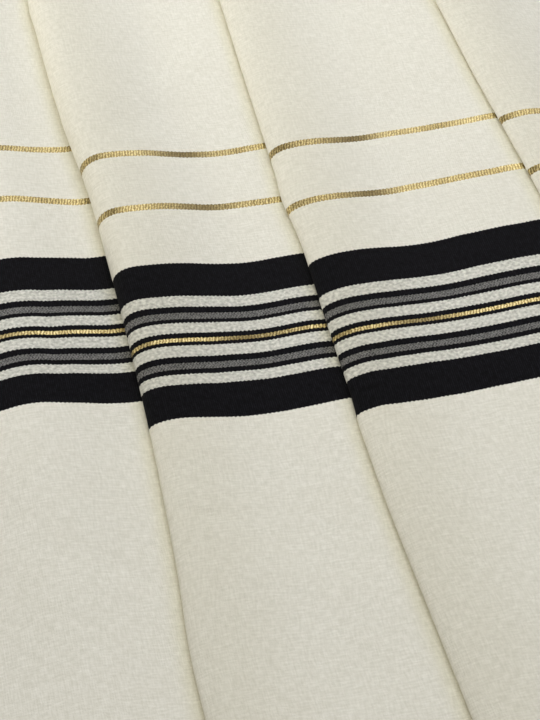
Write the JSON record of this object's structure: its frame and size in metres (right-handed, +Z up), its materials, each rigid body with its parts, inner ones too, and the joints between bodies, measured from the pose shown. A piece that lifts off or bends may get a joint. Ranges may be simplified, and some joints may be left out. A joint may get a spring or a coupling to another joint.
{
  "type": "tallit prayer shawl laid flat in lengthways pleats",
  "caption": "Woven wool prayer shawl laid flat in soft lengthways pleats, with black, grey and gold cross stripes, corner patches and knotted tassels.",
  "frame": {"origin": "on the surface that the shawl lies on, in the middle of its box", "axes": "+X across the shawl from its left selvedge to its right, +Y along its length to the far end, +Z up"},
  "size_m": [1.215, 1.9186, 0.027],
  "materials": {
    "shawl_cloth": "matt ivory wool, plain weave, with black, grey and gold stripes woven across it",
    "hidden_cloth": "matt ivory wool, plain weave",
    "corner_patches": "ivory satin, soft sheen, stitched round",
    "tassel_cord": "twisted wool cord, matt"
  },
  "bodies": {
    "root": {"panel_1": "shawl_cloth", "panel_2": "shawl_cloth", "panel_3": "shawl_cloth", "panel_4": "shawl_cloth", "tucked_layers": "hidden_cloth", "corner_patch_near_left": "corner_patches", "tzitzit_near_left": "tassel_cord", "corner_patch_near_right": "corner_patches", "tzitzit_near_right": "tassel_cord", "corner_patch_far_left": "corner_patches", "tzitzit_far_left": "tassel_cord", "corner_patch_far_right": "corner_patches", "tzitzit_far_right": "tassel_cord"}
  },
  "joints": []
}
